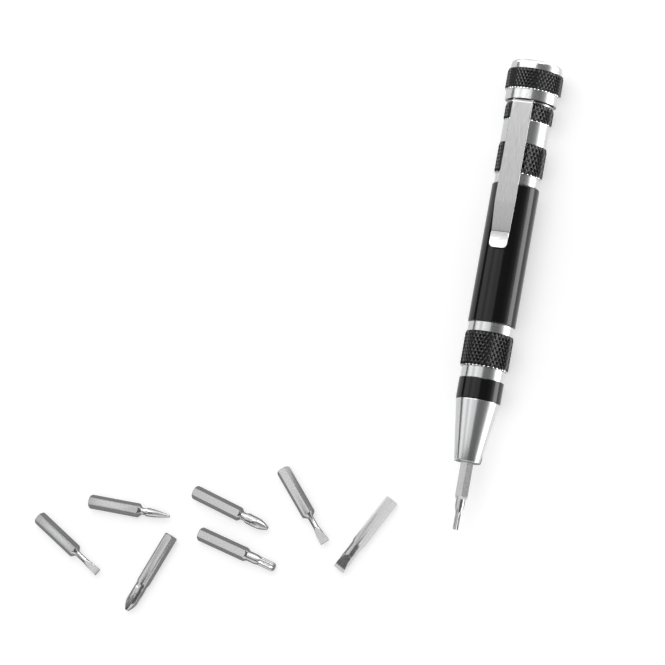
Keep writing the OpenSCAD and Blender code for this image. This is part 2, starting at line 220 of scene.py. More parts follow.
def vary_roughness(material, shader, source, low, high):
    """Varies the roughness between low and high by a grain."""
    tree = material.node_tree
    span = tree.nodes.new("ShaderNodeMapRange")
    span.inputs["From Min"].default_value = GRAIN_LOW
    span.inputs["From Max"].default_value = GRAIN_HIGH
    span.inputs["To Min"].default_value = low
    span.inputs["To Max"].default_value = high
    tree.links.new(source, span.inputs["Value"])
    tree.links.new(span.outputs["Result"], shader.inputs["Roughness"])


def vary_colour(material, shader, source, dark, light):
    """Varies the base colour between two colours by a grain."""
    tree = material.node_tree
    ramp = tree.nodes.new("ShaderNodeValToRGB")
    ramp.color_ramp.elements[0].position = GRAIN_LOW
    ramp.color_ramp.elements[0].color = (*dark, 1)
    ramp.color_ramp.elements[1].position = GRAIN_HIGH
    ramp.color_ramp.elements[1].color = (*light, 1)
    tree.links.new(source, ramp.inputs["Fac"])
    tree.links.new(ramp.outputs["Color"], shader.inputs["Base Color"])


def relief(material, shader, source, depth, strength):
    """Raises and sinks the surface by a grain, depth metres from low to high."""
    tree = material.node_tree
    bump = tree.nodes.new("ShaderNodeBump")
    bump.inputs["Distance"].default_value = depth
    bump.inputs["Strength"].default_value = strength
    tree.links.new(source, bump.inputs["Height"])
    tree.links.new(bump.outputs["Normal"], shader.inputs["Normal"])


def shade(colour, factor):
    """A colour made darker or lighter."""
    return tuple(min(1.0, c * factor) for c in colour)


def calculated(tree, operation, first, second):
    """The output of a Math node. Its second input is a socket or a number."""
    node = tree.nodes.new("ShaderNodeMath")
    node.operation = operation
    tree.links.new(first, node.inputs[0])
    if isinstance(second, (int, float)):
        node.inputs[1].default_value = second
    else:
        tree.links.new(second, node.inputs[1])
    return node.outputs["Value"]


def grained(name, colour, metallic, roughness, grains, shades, rough_span, depth, strength, detail):
    """A finish whose colour, roughness and height all vary with one grain."""
    material, shader = plain_finish(name, colour, metallic, roughness)
    fine = grain(material, grains, detail)
    vary_colour(material, shader, fine, *(shade(colour, factor) for factor in shades))
    vary_roughness(material, shader, fine, *rough_span)
    relief(material, shader, fine, depth * MM, strength)
    return material


# Metals: colour in the panel, metallic, roughness, grains per metre along X, Y and Z, darkest and lightest
# share of the colour, span of the roughness, depth of the relief in millimetres, its strength, and detail
METALS = {
    "bright_turned": ("bright", 1.0, 0.2, (0, 5200, 0), (0.9, 1.05), (0.17, 0.25), 0.004, 0.5, 4),
    "black_anodised": ("black", 0.0, 0.22, (400, 3000, 400), (0.8, 1.25), (0.12, 0.19), 0.002, 0.4, 4),
    "satin_clip": ("clip", 1.0, 0.24, (9000, 260, 9000), (0.93, 1.07), (0.2, 0.28), 0.003, 0.4, 4),
    "satin_bit": ("bits", 1.0, 0.24, (2600, 2600, 2600), (0.85, 1.12), (0.15, 0.24), 0.004, 0.5, 6),
}


def metal(name):
    """A metal of the table, made once and then shared by name."""
    made = bpy.data.materials.get(name)
    if made:
        return made
    colour, *look = METALS[name]
    return grained(name, getattr(finishes(), colour), *look)


def black_knurl():
    """Black anodised diamonds, with bare metal where the front of the knurl is cut after anodising."""
    colour, bare = finishes().black, finishes().bright
    material, shader = plain_finish("black_knurl", colour, 0.0, 0.18)
    shader.inputs["Specular IOR Level"].default_value = 0.35
    tree = material.node_tree
    height = tree.nodes.new("ShaderNodeAttribute")
    height.attribute_name = "above_front_cut"
    cut = calculated(tree, "GREATER_THAN", height.outputs["Fac"], 0)
    tree.links.new(cut, shader.inputs["Metallic"])
    fine = grain(material, (4000, 4000, 4000), 4)
    vary_colour(material, shader, fine, shade(colour, 0.8), shade(colour, 1.4))
    anodised = shader.inputs["Base Color"].links[0].from_socket
    choice = tree.nodes.new("ShaderNodeMix")
    choice.data_type = "RGBA"
    tree.links.new(cut, choice.inputs["Factor"])
    tree.links.new(anodised, choice.inputs["A"])
    choice.inputs["B"].default_value = (*bare, 1)
    tree.links.new(choice.outputs["Result"], shader.inputs["Base Color"])
    vary_roughness(material, shader, fine, 0.14, 0.22)
    relief(material, shader, fine, 0.003 * MM, 0.4)
    return material


def inner_finish(name, colour, metallic, roughness, grains, depth):
    """A finish of a piece inside the tool: an even colour with a fine grain."""
    shades = (0.85, 1.15)
    rough_span = [roughness * factor for factor in shades]
    return grained(name, colour, metallic, roughness, (grains,) * 3, shades, rough_span, depth, 0.5, 4)


def dress(node, material):
    """Gives a carried-over CAD node its finish."""
    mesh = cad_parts[node].data
    mesh.materials.clear()
    mesh.materials.append(material)


def bevelled(bm, geom, offset, segments, affect):
    """Bevels edges or corners. Offset is in metres."""
    bmesh.ops.bevel(
        bm,
        geom=geom,
        offset=offset,
        offset_type="OFFSET",
        segments=segments,
        profile=0.5,
        affect=affect,
        clamp_overlap=True,
        material=-1,
    )


def spun(bm, geom, angle, steps, cent=(0, 0, 0), axis=(0, 1, 0), **more):
    """Sweeps points and edges about an axis, the barrel's if no other is given, and gives the last ones."""
    swept = bmesh.ops.spin(bm, geom=geom, cent=cent, axis=axis, angle=angle, steps=steps, **more)
    return swept["geom_last"]


def edges_in(geom):
    """The edges among vertices, edges and faces."""
    return [g for g in geom if isinstance(g, bmesh.types.BMEdge)]


def ends_of(edges):
    """The vertices of some edges, each once."""
    return list({v for edge in edges for v in edge.verts})


def softened(bm, width=None, limit=math.radians(24), segments=2, left_at=None):
    """Bevels the edges that turn more than the limit, except at a station that meets another piece."""
    sharp = [e for e in bm.edges if e.is_manifold and e.calc_face_angle() > limit]
    if left_at is not None:
        sharp = [e for e in sharp if any(abs(v.co.y / MM - left_at) > NEAR for v in e.verts)]
    bevelled(bm, sharp, width or sizes().edge_softness, segments, "EDGES")


def turned(outline, steps=None, closed=False):
    """A mesh spun about the barrel's axis from (station, radius) points in millimetres."""
    bm = bmesh.new()
    points = [bm.verts.new((radius * MM, station * MM, 0)) for station, radius in outline]
    edges = [bm.edges.new(pair) for pair in zip(points, points[1:])]
    if closed:
        edges.append(bm.edges.new((points[-1], points[0])))
    spun(bm, points + edges, math.tau, steps or sizes().turning_steps, use_merge=True)
    bmesh.ops.remove_doubles(bm, verts=bm.verts, dist=MERGE_DISTANCE)
    bmesh.ops.recalc_face_normals(bm, faces=bm.faces)
    return bm


def placed(name, bm):
    """Puts a mesh in the scene under a name."""
    mesh = bpy.data.meshes.new(name)
    bm.to_mesh(mesh)
    bm.free()
    piece = bpy.data.objects.new(name, mesh)
    bpy.context.scene.collection.objects.link(piece)
    return piece


def finished(name, bm, body, material, replaced=(), smooth=math.radians(20)):
    """Puts a mesh in the scene as a piece that rides on a body."""
    for face in bm.faces:
        face.smooth = True
    for edge in bm.edges:
        edge.smooth = not edge.is_manifold or edge.calc_face_angle() < smooth
    piece = placed(name, bm)
    piece.data.materials.append(material)
    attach(piece, body)
    if replaced:
        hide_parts(*replaced)


class STAGE_OT_screwdriver(bpy.types.Operator):
    """Sets the camera, the floor, the lamps and the reflecting panels"""

    bl_idname = "screwdriver.stage"
    bl_label = "Stage"

    def execute(self, context):
        place_camera(context.scene)
        lay_floor()
        set_world(context.scene)
        context.scene.view_settings.view_transform = "Standard"
        set_lamps()
        set_panels()
        return {"FINISHED"}


CAMERA_AIM = Vector((-51.95, 35.24, 0)) * MM
CAMERA_DISTANCE = 1376.0 * MM
CAMERA_AZIMUTH = math.radians(67.84)
CAMERA_ELEVATION = math.radians(69.23)
CAMERA_ROLL = math.radians(-58.83)
FIELD_OF_VIEW = math.radians(8.831)


def place_camera(scene):
    """The camera looks down at the lying tool from its tip's side."""
    camera = bpy.data.cameras.new("camera")
    camera.sensor_fit = "HORIZONTAL"
    camera.angle = FIELD_OF_VIEW
    camera.clip_start = 0.05
    camera.clip_end = 20
    viewer = bpy.data.objects.new("camera", camera)
    scene.collection.objects.link(viewer)
    turn = Matrix.Rotation(CAMERA_AZIMUTH, 4, "Z")
    tilt = Matrix.Rotation(math.radians(90) - CAMERA_ELEVATION, 4, "X")
    roll = Matrix.Rotation(CAMERA_ROLL, 4, "Z")
    away = Matrix.Translation((0, 0, CAMERA_DISTANCE))
    viewer.matrix_world = Matrix.Translation(CAMERA_AIM) @ turn @ tilt @ roll @ away
    scene.camera = viewer


def seen_directly(tree):
    """1 for rays from the camera and for mirrored and refracted ones, and 0 for light on the object."""
    path = tree.nodes.new("ShaderNodeLightPath")
    either = calculated(tree, "MAXIMUM", path.outputs["Is Camera Ray"], path.outputs["Is Glossy Ray"])
    return calculated(tree, "MAXIMUM", either, path.outputs["Is Transmission Ray"])


FLOOR_SPAN = 6.0
FLOOR_COLOUR = (0.65, 0.65, 0.65)
FLOOR_LIFT = 0.5


def lay_floor():
    """A white sheet that the cap's knurl and the loose bits lie on."""
    lowest = CAD_BOUNDS[0][2]
    bm = bmesh.new()
    bmesh.ops.create_grid(bm, x_segments=1, y_segments=1, size=FLOOR_SPAN / 2)
    bmesh.ops.translate(bm, verts=bm.verts, vec=(0, 0, lowest))
    floor = placed("floor", bm)
    material, shader = plain_finish("white_sheet", FLOOR_COLOUR, 0.0, 0.9)
    shader.inputs["Specular IOR Level"].default_value = 0.0
    tree = material.node_tree
    glow = tree.nodes.new("ShaderNodeEmission")
    lift = calculated(tree, "MULTIPLY", seen_directly(tree), FLOOR_LIFT)
    tree.links.new(lift, glow.inputs["Strength"])
    both = tree.nodes.new("ShaderNodeAddShader")
    tree.links.new(shader.outputs["BSDF"], both.inputs[0])
    tree.links.new(glow.outputs["Emission"], both.inputs[1])
    tree.links.new(both.outputs["Shader"], tree.nodes["Material Output"].inputs["Surface"])
    floor.data.materials.append(material)


AMBIENT = 0.66


def set_world(scene):
    """An even pale surround that shows as white."""
    world = bpy.data.worlds.new("surround")
    world.use_nodes = True
    tree = world.node_tree
    ambient = tree.nodes["Background"]
    ambient.inputs["Color"].default_value = (1, 1, 1, 1)
    ambient.inputs["Strength"].default_value = AMBIENT
    white = tree.nodes.new("ShaderNodeBackground")
    white.inputs["Color"].default_value = (1, 1, 1, 1)
    white.inputs["Strength"].default_value = 1.0
    choice = tree.nodes.new("ShaderNodeMixShader")
    tree.links.new(seen_directly(tree), choice.inputs["Fac"])
    tree.links.new(ambient.outputs["Background"], choice.inputs[1])
    tree.links.new(white.outputs["Background"], choice.inputs[2])
    tree.links.new(choice.outputs["Shader"], tree.nodes["World Output"].inputs["Surface"])
    scene.world = world


LAMP_AIM = Vector((-30, 40, 0)) * MM


def soft_lamp(name, place, width, height, watts):
    """A rectangular soft lamp that faces the tool."""
    light = bpy.data.lights.new(name, "AREA")
    light.shape = "RECTANGLE"
    light.size = width * MM
    light.size_y = height * MM
    light.energy = watts
    lamp = bpy.data.objects.new(name, light)
    bpy.context.scene.collection.objects.link(lamp)
    where = Vector(place) * MM
    lamp.location = where
    lamp.rotation_euler = (LAMP_AIM - where).to_track_quat("-Z", "Y").to_euler()
    lamp.visible_camera = False
    lamp.visible_glossy = False


def set_lamps():
    """Two wide soft lamps, a stronger one from beyond the cap and a weaker one from over the tip."""
    soft_lamp("key_lamp", (-150, 700, 1100), 1000, 900, 3.0)
    soft_lamp("fill_lamp", (60, -300, 1200), 1000, 900, 1.2)


def mirrored_only(name, bm, strength):
    """Adds a glowing sheet that shows only in mirrored light."""
    sheet = placed(name, bm)
    sheet.visible_camera = False
    sheet.visible_diffuse = False
    sheet.visible_shadow = False
    sheet.visible_transmission = False
    material = bpy.data.materials.new(name)
    material.use_nodes = True
    tree = material.node_tree
    tree.nodes.remove(tree.nodes["Principled BSDF"])
    glow = tree.nodes.new("ShaderNodeEmission")
    glow.inputs["Strength"].default_value = strength
    tree.links.new(glow.outputs["Emission"], tree.nodes["Material Output"].inputs["Surface"])
    sheet.data.materials.append(material)


# Reflecting sheets in millimetres: reach from the axis, stations along it, and a card's height over the floor
PANEL_REACH = 700
FACET_REACH = 690
PANEL_STEPS = 16
WHOLE_LENGTH = (-900, 1100)
CARD_LIFT = 0.05


def panel(name, turns, stations, strength, reach=PANEL_REACH):
    """A curved panel over the tool. Its turns are from straight up towards +X."""
    bm = bmesh.new()
    low, high = (math.radians(turn) for turn in turns)
    across, up = reach * MM * math.sin(low), reach * MM * math.cos(low)
    ends = [bm.verts.new((across, y * MM, up)) for y in stations]
    edge = bm.edges.new(ends)
    spun(bm, ends + [edge], high - low, PANEL_STEPS)
    mirrored_only(name, bm, strength)


def card(name, across, along, strength):
    """A flat card just over the floor, between two places across the tool and two along it."""
    bm = bmesh.new()
    bmesh.ops.create_grid(bm, x_segments=1, y_segments=1, size=0.5)
    bmesh.ops.scale(bm, verts=bm.verts, vec=((across[1] - across[0]) * MM, (along[1] - along[0]) * MM, 1))
    middle = Vector((sum(across) / 2 * MM, sum(along) / 2 * MM, CAD_BOUNDS[0][2] + CARD_LIFT * MM))
    bmesh.ops.translate(bm, verts=bm.verts, vec=middle)
    mirrored_only(name, bm, strength)


def set_panels():
    """Grey gaps and bright strips that stripe the turned metal, and bright sheets for edges and facets."""
    panel("dark_line", (-86, -69), WHOLE_LENGTH, 0.06)
    panel("pale_line", (-42, -29), WHOLE_LENGTH, 0.62)
    panel("pale_panel", (-12, 13), WHOLE_LENGTH, 0.76)
    panel("grey_panel", (13, 58), WHOLE_LENGTH, 0.15)
    panel("grey_slope", (58, 72), WHOLE_LENGTH, 0.24)
    panel("grey_edge", (72, 80), WHOLE_LENGTH, 0.42)
    panel("lip_sheet", (-70, 10), (328, 500), 4.0)
    panel("facet_sheet", (-10, 50), (570, 1000), 6.0, FACET_REACH)
    panel("facet_left_sheet", (-62, -10), (500, 1000), 1.1, FACET_REACH)
    panel("facet_edge_sheet", (-89, -62), (420, 1000), 4.5, FACET_REACH)
    panel("facet_right_sheet", (50, 84), (570, 1000), 1.1, FACET_REACH)
    panel("facet_shade", (-88, 84), (-560, -230), 0.12, FACET_REACH)
    card("bright_strip", (26, 200), (-40, 260), 4.5)
    card("right_card", (10, 26), (-40, 260), 0.85)
    card("left_card", (-600, -10), (-4, 260), 0.75)
    card("tip_card", (-160, -36), (-90, -4), 0.3)
    card("mouth_card", (-10, 10), (-14, 2), 0.3)


# Finishes of the inner pieces: name, colour, metallic, roughness, grains per metre, and depth in millimetres
INNER_FINISHES = {
    "bit_socket": ("socket_steel", (0.5, 0.5, 0.51), 1.0, 0.35, 1800, 0.004),
    "socket_magnet": ("magnet_nickel", (0.45, 0.44, 0.42), 1.0, 0.25, 900, 0.003),
    "cap_seal": ("seal_rubber", (0.02, 0.02, 0.02), 0.0, 0.55, 1500, 0.01),
    "cap_washer": ("washer_plastic", (0.018, 0.018, 0.019), 0.0, 0.5, 1500, 0.006),
    "cap_pad": ("pad_foam", (0.05, 0.05, 0.052), 0.0, 0.8, 2500, 0.03),
}


class DRESS_OT_hidden_pieces(bpy.types.Operator):
    """Finishes the pieces inside the nose and the cap"""

    bl_idname = "screwdriver.hidden_pieces"
    bl_label = "Inner Pieces"

    def execute(self, context):
        for node, look in INNER_FINISHES.items():
            dress(node, inner_finish(*look))
        return {"FINISHED"}


# Lengths in millimetres
CLIP_THICKNESS = 0.55
SEAT_GAP = 0.03
MAGAZINE_DEPTH = 66.0
CAP_BAND_LENGTH = 3.3
CAP_KNURL_LENGTH = 6.7

# Stations along the barrel in millimetres from the nose's mouth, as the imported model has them
NOSE_RING_AT = 19.6
FRONT_BAND_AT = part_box("barrel")[0].y / MM
GRIP_AT = 30.0
MIDDLE_BAND_AT = 41.1
SMOOTH_AT = 44.2
REAR_BAND_AT = 89.3
REAR_KNURL_AT = 92.5
WAIST_AT = 102.4
UPPER_KNURL_AT = 109.8
CLIP_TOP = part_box("clip_ring")[1].y / MM
SHOULDER_AT = CLIP_TOP - CLIP_THICKNESS - SEAT_GAP
NECK_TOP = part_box("barrel")[1].y / MM
MAGAZINE_FLOOR = NECK_TOP - MAGAZINE_DEPTH
CAP_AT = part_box("cap")[0].y / MM
CAP_KNURL_AT = CAP_AT + CAP_BAND_LENGTH
CAP_TOP_AT = CAP_KNURL_AT + CAP_KNURL_LENGTH
CAP_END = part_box("cap")[1].y / MM

# Radii in millimetres
MOUTH_R = 4.3
SOCKET_BORE_R = 3.37
CONE_R = 6.95
NOSE_RING_R = 7.15
SPIGOT_R = 5.4
FRONT_BAND_R = 6.9
MIDDLE_BAND_R = 7.25
BARREL_R = 7.6
REAR_BAND_R = 7.1
WAIST_R = 7.5
KNURL_R = 7.8
UPPER_KNURL_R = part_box("barrel")[1].x / MM
CAP_KNURL_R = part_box("cap")[1].x / MM
CAP_BAND_R = 8.4
CAP_TOP_R = 8.25
CAP_EDGE_R = 1.3
NECK_R = 6.5
THREAD_ROOT_R = 6.1
CAP_BORE_R = 6.55
MAGAZINE_R = 5.6
BAND_SKIN = 0.3
SOCKET_END = 10.24
SPIGOT_END = 35.8

# Small steps, leads, gaps and roundings in millimetres
LEAD = 0.2
MOUTH_RIM = 0.15
MOUTH_TAPER = 0.4
TURNED_STEP = 0.25
FINE_STEP = 0.1
FIT_GAP = 0.05
BARREL_EDGE_R = 0.6
MAGAZINE_LEAD = 0.15

# The neck in millimetres from the shoulder, then how far its thread stops short of the top and is sunk in
NECK_PLAIN_END = 3.4
THREAD_ROOT_FROM = 3.7
THREAD_FROM = 4
THREAD_SHORT = 0.4
THREAD_SUNK = 0.05
THREAD_PITCH = 0.75
THREAD_STEPS = 48
THREAD_FLANK_SHARE = 0.4

# The cap in millimetres: thickness of its roof and of its lid, then the seal's groove
CAP_ROOF = 2.4
CAP_LID = 1.2
SEAL_FROM_CAP = 1.65
SEAL_HALF = 0.55
SEAL_GROOVE = 1

# The bright cut at a knurl's front: its rise in mm per mm, and the share of a crest left at front and back
FRONT_CUT_SLOPE = 0.8
FRONT_CREST_SHARE = 0.45
BACK_CREST_SHARE = 0.3
FACET_TURN = math.radians(5)


def arc(station, radius, size, start, end, count=6):
    """Points of a rounded corner, as (station, radius). Angles are from straight out towards the cap."""
    turns = [math.radians(start + (end - start) * i / count) for i in range(count + 1)]
    return [(station + size * math.sin(t), radius + size * math.cos(t)) for t in turns]


def band(name, start, end, outer, body):
    """A bright diamond-cut band, a closed ring with softened edges."""
    inner = outer - BAND_SKIN
    bm = turned([(start, inner), (start, outer), (end, outer), (end, inner)], closed=True)
    softened(bm)
    finished(name, bm, body, metal("bright_turned"))


def knurl(name, crest, start, end, around, body):
    """Diamonds between slanting cuts, rounded at the back of the sleeve and cut bright at its front."""
    length = end - start
    depth = sizes().knurl_depth / MM
    root = crest - depth
    width = math.tau * crest / around
    rows = max(2, round(2 * length * math.tan(sizes().knurl_slant) / width))
    step = length / rows
    outline = [(start + step * row, root) for row in range(rows + 1)]
    inner = root - BAND_SKIN
    outline += [(start + length, inner), (start, inner)]
    bm = turned(outline, 2 * around, closed=True)
    above_cut = bm.verts.layers.float.new("above_front_cut")
    low = []
    for vert in bm.verts:
        if math.hypot(vert.co.x, vert.co.z) / MM < root - BAND_SKIN / 2:
            continue
        column = round(math.atan2(vert.co.z, vert.co.x) / (math.pi / around))
        past = vert.co.y / MM - start
        row = round(past / step)
        vert[above_cut] = -past * FRONT_CUT_SLOPE
        if (column + row) % 2:
            low.append(vert)
            continue
        vert[above_cut] += depth
        lift = depth * {0: FRONT_CREST_SHARE, rows: BACK_CREST_SHARE}.get(row, 1)
        vert.co.x *= (root + lift) / root
        vert.co.z *= (root + lift) / root
    bmesh.ops.connect_verts(bm, verts=low)
    peaks = [v for v in bm.verts if math.hypot(v.co.x, v.co.z) / MM > root + depth / 2]
    bevelled(bm, peaks, sizes().crest_flat, 1, "VERTICES")
    bm.normal_update()
    for vert in bm.verts:
        if all(abs(face.normal.y) > 0.99 or face.normal.dot(vert.co) < 0 for face in vert.link_faces):
            vert[above_cut] = 1
    material = bpy.data.materials.get("black_knurl") or black_knurl()
    finished(name, bm, body, material, smooth=FACET_TURN)


def thread(name, root, crest, start, end):
    """The neck's screw thread, a closed ridge swept round and along the axis."""
    bm = bmesh.new()
    half = THREAD_PITCH * THREAD_FLANK_SHARE
    points = [
        bm.verts.new((root * MM, start * MM, 0)),
        bm.verts.new((crest * MM, (start + half) * MM, 0)),
        bm.verts.new((root * MM, (start + 2 * half) * MM, 0)),
    ]
    edges = [bm.edges.new((points[i], points[(i + 1) % 3])) for i in range(3)]
    turns = (end - start) / THREAD_PITCH
    climb = (0, THREAD_PITCH * MM / THREAD_STEPS, 0)
    spun(bm, points + edges, math.tau * turns, round(turns * THREAD_STEPS), dvec=climb)
    bmesh.ops.holes_fill(bm, edges=[e for e in bm.edges if e.is_boundary], sides=4)
    bmesh.ops.recalc_face_normals(bm, faces=bm.faces)
    finished(name, bm, "barrel", metal("black_anodised"))


class DRESS_OT_nose(bpy.types.Operator):
    """Makes the bright cone and the black ring behind it"""

    bl_idname = "screwdriver.nose"
    bl_label = "Nose"

    def execute(self, context):
        cone = turned(
            [
                (SOCKET_END, 0),
                (SOCKET_END, SOCKET_BORE_R),
                (LEAD, SOCKET_BORE_R),
                (0, SOCKET_BORE_R + LEAD),
                (0, MOUTH_R - MOUTH_RIM),
                (MOUTH_TAPER, MOUTH_R),
                (NOSE_RING_AT - TURNED_STEP, CONE_R),
                (NOSE_RING_AT, CONE_R - FINE_STEP),
                (NOSE_RING_AT, 0),
            ]
        )
        softened(cone)
        bright = metal("bright_turned")
        finished("nose_cone_bright", cone, "barrel", bright, ["nose_cone"])
        ring = turned(
            [
                (NOSE_RING_AT, 0),
                (NOSE_RING_AT, NOSE_RING_R),
                (FRONT_BAND_AT, NOSE_RING_R),
                (FRONT_BAND_AT, SPIGOT_R),
                (SPIGOT_END, SPIGOT_R),
                (SPIGOT_END, 0),
            ]
        )
        softened(ring)
        finished("nose_ring_black", ring, "barrel", metal("black_anodised"))
        return {"FINISHED"}


class DRESS_OT_barrel(bpy.types.Operator):
    """Makes the black tube, its bright bands, its knurls and the threaded neck"""

    bl_idname = "screwdriver.barrel"
    bl_label = "Barrel"

    def execute(self, context):
        relief_r = KNURL_R - sizes().knurl_depth / MM - BAND_SKIN
        bore = SPIGOT_R + FIT_GAP
        rim_at = SHOULDER_AT - TURNED_STEP
        tube = turned(
            [
                (SPIGOT_END + FIT_GAP, 0),
                (SPIGOT_END + FIT_GAP, bore),
                (FRONT_BAND_AT, bore),
                (FRONT_BAND_AT, FRONT_BAND_R - BAND_SKIN),
                (GRIP_AT, FRONT_BAND_R - BAND_SKIN),
                (GRIP_AT, relief_r),
                (MIDDLE_BAND_AT, relief_r),
                (MIDDLE_BAND_AT, MIDDLE_BAND_R - BAND_SKIN),
                (SMOOTH_AT, MIDDLE_BAND_R - BAND_SKIN),
                (SMOOTH_AT, BARREL_R - TURNED_STEP),
                (SMOOTH_AT + TURNED_STEP, BARREL_R),
                *arc(REAR_BAND_AT - BARREL_EDGE_R, BARREL_R - BARREL_EDGE_R, BARREL_EDGE_R, 0, 90),
                (REAR_BAND_AT, REAR_BAND_R - BAND_SKIN),
                (REAR_KNURL_AT, REAR_BAND_R - BAND_SKIN),
                (REAR_KNURL_AT, relief_r),
                (WAIST_AT, relief_r),
                (WAIST_AT, WAIST_R - BAND_SKIN),
                (UPPER_KNURL_AT, WAIST_R - BAND_SKIN),
                (rim_at, WAIST_R - BAND_SKIN),
                (rim_at, WAIST_R),
                (SHOULDER_AT, WAIST_R - FINE_STEP),
                (SHOULDER_AT, NECK_R),
                (SHOULDER_AT + NECK_PLAIN_END, NECK_R),
                (SHOULDER_AT + THREAD_ROOT_FROM, THREAD_ROOT_R),
                (NECK_TOP - LEAD, THREAD_ROOT_R),
                (NECK_TOP, THREAD_ROOT_R - LEAD),
                (NECK_TOP, MAGAZINE_R + MAGAZINE_LEAD),
                (NECK_TOP - MAGAZINE_LEAD, MAGAZINE_R),
                (MAGAZINE_FLOOR, MAGAZINE_R),
                (MAGAZINE_FLOOR, 0),
            ]
        )
        softened(tube, sizes().edge_softness / 2)
        finished("barrel_tube", tube, "barrel", metal("black_anodised"), ["barrel"])
        band("front_band", FRONT_BAND_AT, GRIP_AT, FRONT_BAND_R, "barrel")
        band("middle_band", MIDDLE_BAND_AT, SMOOTH_AT, MIDDLE_BAND_R, "barrel")
        band("rear_band", REAR_BAND_AT, REAR_KNURL_AT, REAR_BAND_R, "barrel")
        band("waist_band", WAIST_AT, UPPER_KNURL_AT, WAIST_R, "barrel")
        around = sizes().diamonds_round_grip
        knurl("grip_knurl", KNURL_R, GRIP_AT, MIDDLE_BAND_AT, around, "barrel")
        knurl("rear_knurl", KNURL_R, REAR_KNURL_AT, WAIST_AT, around, "barrel")
        knurl("upper_knurl", UPPER_KNURL_R, UPPER_KNURL_AT, rim_at, around, "barrel")
        start, end = SHOULDER_AT + THREAD_FROM, NECK_TOP - THREAD_SHORT
        thread("neck_thread", THREAD_ROOT_R - THREAD_SUNK, NECK_R, start, end)
        return {"FINISHED"}


class DRESS_OT_cap(bpy.types.Operator):
    """Makes the screw cap: bright band, knurled grip and bright top"""

    bl_idname = "screwdriver.cap"
    bl_label = "Cap"

    def execute(self, context):
        relief_r = CAP_KNURL_R - sizes().knurl_depth / MM - BAND_SKIN
        roof = CAP_END - CAP_ROOF
        lid_at = CAP_END - CAP_LID
        seal_at = CAP_AT + SEAL_FROM_CAP
        shell = turned(
            [
                (CAP_AT, CAP_BORE_R),
                (CAP_AT, CAP_BAND_R - BAND_SKIN),
                (CAP_KNURL_AT, CAP_BAND_R - BAND_SKIN),
                (CAP_KNURL_AT, relief_r),
                (CAP_TOP_AT, relief_r),
                (CAP_TOP_AT, CAP_TOP_R - BAND_SKIN),
                (lid_at, CAP_TOP_R - BAND_SKIN),
                (lid_at, 0),
                (roof, 0),
                (roof, CAP_BORE_R),
                (seal_at + SEAL_HALF, CAP_BORE_R),
                (seal_at + SEAL_HALF, CAP_BORE_R + SEAL_GROOVE),
                (seal_at - SEAL_HALF, CAP_BORE_R + SEAL_GROOVE),
                (seal_at - SEAL_HALF, CAP_BORE_R),
            ],
            closed=True,
        )
        softened(shell, sizes().edge_softness / 2)
        finished("cap_shell", shell, "cap", metal("black_anodised"), ["cap"])
        band("cap_band", CAP_AT, CAP_KNURL_AT, CAP_BAND_R, "cap")
        top = turned(
            [
                (lid_at, 0),
                (lid_at, CAP_TOP_R - BAND_SKIN),
                (CAP_TOP_AT, CAP_TOP_R - BAND_SKIN),
                (CAP_TOP_AT, CAP_TOP_R),
                *arc(CAP_END - CAP_EDGE_R, CAP_TOP_R - CAP_EDGE_R, CAP_EDGE_R, 0, 90, 8),
                (CAP_END, 0),
            ]
        )
        softened(top)
        finished("cap_top", top, "cap", metal("bright_turned"))
        knurl("cap_knurl", CAP_KNURL_R, CAP_KNURL_AT, CAP_TOP_AT, sizes().diamonds_round_cap, "cap")
        return {"FINISHED"}


# The clip in millimetres: a sheet that lies on the shoulder, bends over it and runs down beside the barrel
CLIP_HALF_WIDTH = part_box("clip_arm")[1].x / MM
CLIP_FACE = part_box("clip_arm")[1].z / MM
HINGE_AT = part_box("clip_arm")[1].y / MM
LIP_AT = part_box("clip_arm")[0].y / MM
CLIP_BEND_R = 1.0
CLIP_RING_R = 7.4
CHEEK_FOLD_R = 0.3
CHEEK_REACH_R = 7.4
CREASE_GROOVE = 0.14
CREASE_HALF = 0.3
SLANT_HALF = 1.2
STRAIGHT_LENGTH = 27.0
SLANT_LENGTH = 9.3
SLANT_AT = HINGE_AT - STRAIGHT_LENGTH
CREASE_AT = SLANT_AT - SLANT_LENGTH
CREASE_FACE = BARREL_R + FIT_GAP + CLIP_THICKNESS
LIP_FACE = CLIP_FACE - CLIP_THICKNESS / 5
LIP_HALF_WIDTH = 2.95
LIP_CORNER_R = 1.6
RING_STEPS = 72
ROUND_STEPS = 8
FOLD_STEPS = 5


def ramp(past, half):
    """Nothing before a bend and the distance past it behind, with a round change over half on each side."""
    if past < -half:
        return 0.0
    if past > half:
        return past
    return (past + half) ** 2 / (4 * half)


def arm_face(station):
    """Height of the arm's outer face: straight, slanting in to the crease, then flaring out to the lip."""
    slant = (CLIP_FACE - CREASE_FACE) / (SLANT_AT - CREASE_AT)
    flare = (LIP_FACE - CREASE_FACE) / (CREASE_AT - LIP_AT)
    inwards = slant * ramp(SLANT_AT - station, SLANT_HALF)
    outwards = (slant + flare) * ramp(CREASE_AT - station, CREASE_HALF)
    return CLIP_FACE - inwards + outwards


def sheet_metal(bm, thickness):
    """Turns a sheet's outward face up, then gives it its thickness."""
    bmesh.ops.remove_doubles(bm, verts=bm.verts, dist=MERGE_DISTANCE)
    bmesh.ops.recalc_face_normals(bm, faces=bm.faces)
    highest = max(bm.faces, key=lambda face: face.calc_center_median().z)
    if highest.normal.z < 0:
        bmesh.ops.reverse_faces(bm, faces=bm.faces)
    bmesh.ops.solidify(bm, geom=bm.faces[:], thickness=thickness * MM)


